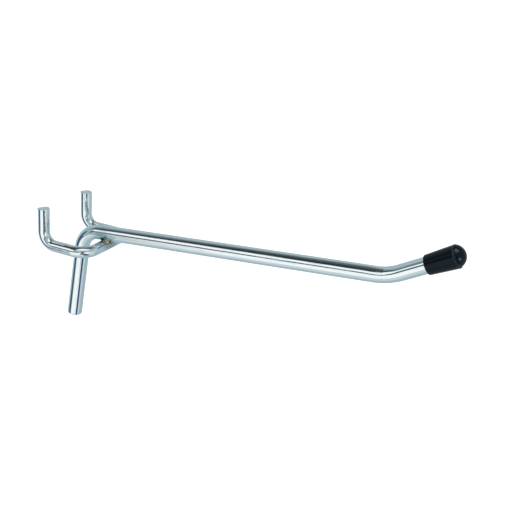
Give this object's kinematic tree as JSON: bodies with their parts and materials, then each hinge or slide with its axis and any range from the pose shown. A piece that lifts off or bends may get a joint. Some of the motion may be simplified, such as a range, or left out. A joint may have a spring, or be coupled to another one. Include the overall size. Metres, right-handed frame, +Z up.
{
  "type": "pegboard hook",
  "caption": "Straight pegboard hook: a bent steel arm with an upturned capped nose, welded on a U-bent wire whose upturned ends hook into the board's holes.",
  "frame": {"origin": "midway between the two prongs, on the level of their axes and in the plane of the upturned tips' axes", "axes": "+X away from the board along the arm, +Y across from prong to prong, +Z up along the tips"},
  "size_m": [0.1514, 0.0296, 0.0611],
  "materials": {
    "zinc_plate": "bright zinc plate",
    "weld_zinc": "plated weld flash, dull",
    "black_vinyl": "satin moulded vinyl"
  },
  "bodies": {
    "root": {"arm_wire": "zinc_plate", "prong_wire": "zinc_plate", "weld_bead": "weld_zinc", "end_cap": "black_vinyl"}
  },
  "joints": []
}
